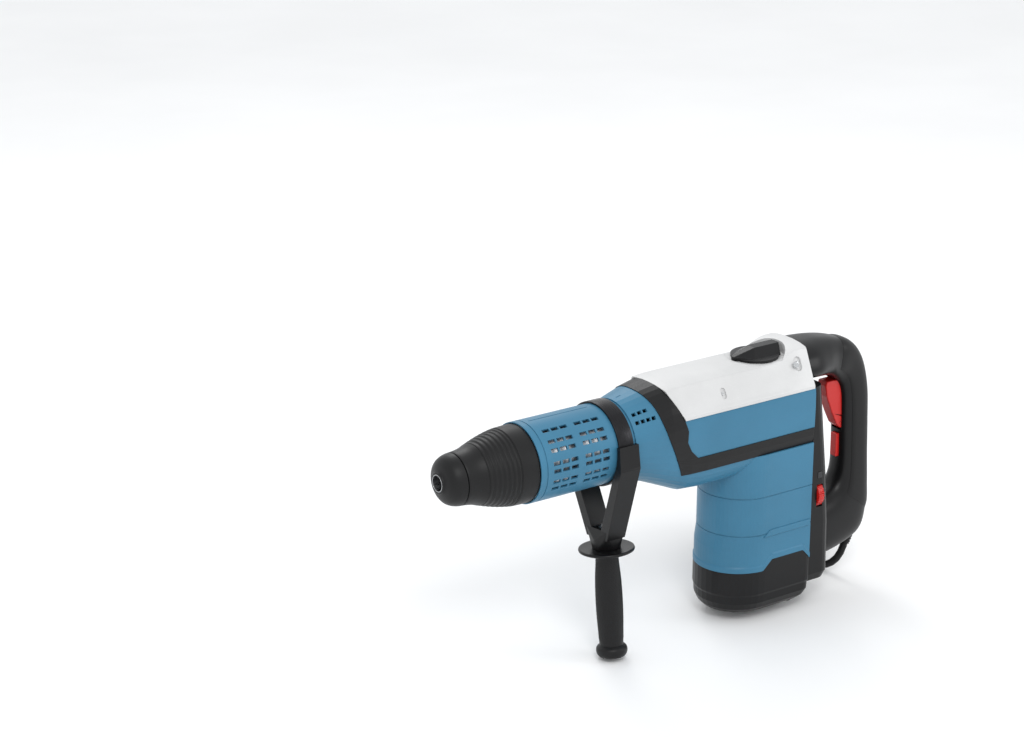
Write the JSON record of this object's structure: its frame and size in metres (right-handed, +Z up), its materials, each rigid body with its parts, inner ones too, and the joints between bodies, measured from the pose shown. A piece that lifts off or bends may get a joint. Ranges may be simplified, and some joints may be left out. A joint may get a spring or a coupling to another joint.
{
  "type": "rotary hammer",
  "caption": "Corded L-shaped rotary hammer with a round tool socket, vented barrel, swinging side handle, upright motor and damped D-handle.",
  "frame": {"origin": "centre of the tool holder's mouth, on the tool axis", "axes": "+X runs back along the tool axis to the rear handle, +Z is up, +Y is the side away from the cord's near side"},
  "size_m": [0.6206, 0.2441, 0.326],
  "materials": {
    "blue_plastic": "fine moulded texture",
    "black_plastic": "fine moulded texture",
    "black_rubber": "soft overmould",
    "pale_plastic": "satin",
    "red_plastic": "satin",
    "steel": "machined",
    "black_steel": "black coated strap",
    "alloy": "die cast",
    "copper": "enamelled windings",
    "light": "smoked lens, unlit",
    "cord_rubber": "smooth cable jacket"
  },
  "bodies": {
    "root": {"barrel_cover": "blue_plastic", "barrel_housing": "alloy", "front_bearing": "steel", "gearbox_housing": "blue_plastic", "front_band": "black_plastic", "top_cover": "pale_plastic", "side_trims": "black_plastic", "motor_housing": "blue_plastic", "motor_cap": "black_plastic", "base_pads": "black_rubber", "gear_carrier": "alloy", "crank_bearing": "steel", "motor_bracket": "alloy", "upper_bearing": "steel", "lower_bearing": "steel", "stator": "steel", "brush_holder": "black_plastic", "carbon_brushes": "steel", "rear_spine": "black_plastic", "status_light": "light", "electronics_module": "black_plastic", "housing_screws": "steel"},
    "spindle": {"dust_cap": "black_rubber", "tool_holder": "steel", "locking_rollers": "steel", "hammer_tube": "steel", "spindle_gear": "steel", "sleeve_spring": "steel"},
    "sleeve": {"locking_sleeve": "black_rubber"},
    "beater": {"beat_piece": "steel"},
    "ram_body": {"ram": "steel"},
    "piston_body": {"piston": "alloy", "connecting_rod": "alloy"},
    "crank": {"crankshaft": "steel"},
    "idler": {"idler_gear": "steel"},
    "motor_rotor": {"rotor": "steel", "cooling_fan": "black_plastic", "commutator": "copper"},
    "selector": {"selector_knob": "black_plastic"},
    "dial": {"speed_dial": "red_plastic"},
    "handle": {"rear_handle": "black_plastic", "handle_springs": "steel", "trigger_pin": "steel", "switch_module": "black_plastic", "cord_boot": "cord_rubber", "cord_lead": "cord_rubber", "cord_coil": "cord_rubber", "power_plug": "black_plastic"},
    "trigger_body": {"trigger": "red_plastic"},
    "lock_body": {"lock_button": "red_plastic"},
    "side_handle": {"clamp_band": "black_steel", "handle_bracket": "black_plastic", "clamp_nut": "steel"},
    "grip": {"clamp_rod": "steel", "guard_disc": "black_plastic", "side_grip": "black_rubber", "grip_end_cap": "black_plastic"}
  },
  "joints": [
    {"name": "spindle_turn", "type": "hinge", "parent": "root", "child": "spindle", "pos_m": [0.1, 0, 0], "axis": [1, 0, 0], "continuous": true},
    {"name": "sleeve_pull", "type": "slide", "parent": "spindle", "child": "sleeve", "axis": [1, 0, 0], "range_m": [0, 0.008], "stiffness_N_per_m": 1500, "springref_m": -0.004},
    {"name": "beat_slide", "type": "slide", "parent": "spindle", "child": "beater", "axis": [1, 0, 0], "range_m": [-0.008, 0.012]},
    {"name": "ram_slide", "type": "slide", "parent": "root", "child": "ram_body", "axis": [1, 0, 0], "range_m": [-0.016, 0.008]},
    {"name": "piston_slide", "type": "slide", "parent": "root", "child": "piston_body", "axis": [1, 0, 0], "range_m": [-0.028, 0]},
    {"name": "rotor_spin", "type": "hinge", "parent": "root", "child": "motor_rotor", "pos_m": [0.418, 0, -0.15], "axis": [0, 0, 1], "continuous": true},
    {"name": "crank_turn", "type": "hinge", "parent": "root", "child": "crank", "pos_m": [0.378, 0, -0.05], "axis": [0, 0, 1], "continuous": true},
    {"name": "idler_turn", "type": "hinge", "parent": "root", "child": "idler", "pos_m": [0.334, 0, -0.05], "axis": [0, 0, 1], "continuous": true},
    {"name": "selector_turn", "type": "hinge", "parent": "root", "child": "selector", "pos_m": [0.434, 0, 0.0585], "axis": [0, 0, 1], "range_deg": [-90, 90]},
    {"name": "dial_turn", "type": "hinge", "parent": "root", "child": "dial", "pos_m": [0.499, -0.0365, -0.113], "axis": [1, 0, 0], "range_deg": [0, 300]},
    {"name": "handle_damping", "type": "slide", "parent": "root", "child": "handle", "axis": [-1, 0, 0], "range_m": [0, 0.004], "stiffness_N_per_m": 9000, "springref_m": -0.003},
    {"name": "trigger_pull", "type": "hinge", "parent": "handle", "child": "trigger_body", "pos_m": [0.575, 0, -0.046], "axis": [0, 1, 0], "range_deg": [0, 9], "stiffness_Nm_per_rad": 1.2, "springref_deg": -5.73},
    {"name": "lock_press", "type": "slide", "parent": "handle", "child": "lock_body", "axis": [1, 0, 0], "range_m": [0, 0.003], "stiffness_N_per_m": 600, "springref_m": -0.002},
    {"name": "side_handle_swing", "type": "hinge", "parent": "root", "child": "side_handle", "pos_m": [0.216, 0, 0], "axis": [1, 0, 0], "continuous": true},
    {"name": "grip_twist", "type": "hinge", "parent": "side_handle", "child": "grip", "pos_m": [0.216, 0, 0], "axis": [0, 0.1045, 0.9945], "range_deg": [0, 720]}
  ],
  "couplings": [
    {"joint": "crank_turn", "follows": "rotor_spin", "ratio": -0.25},
    {"joint": "idler_turn", "follows": "rotor_spin", "ratio": 0.66667},
    {"joint": "spindle_turn", "follows": "rotor_spin", "ratio": -0.22222}
  ]
}
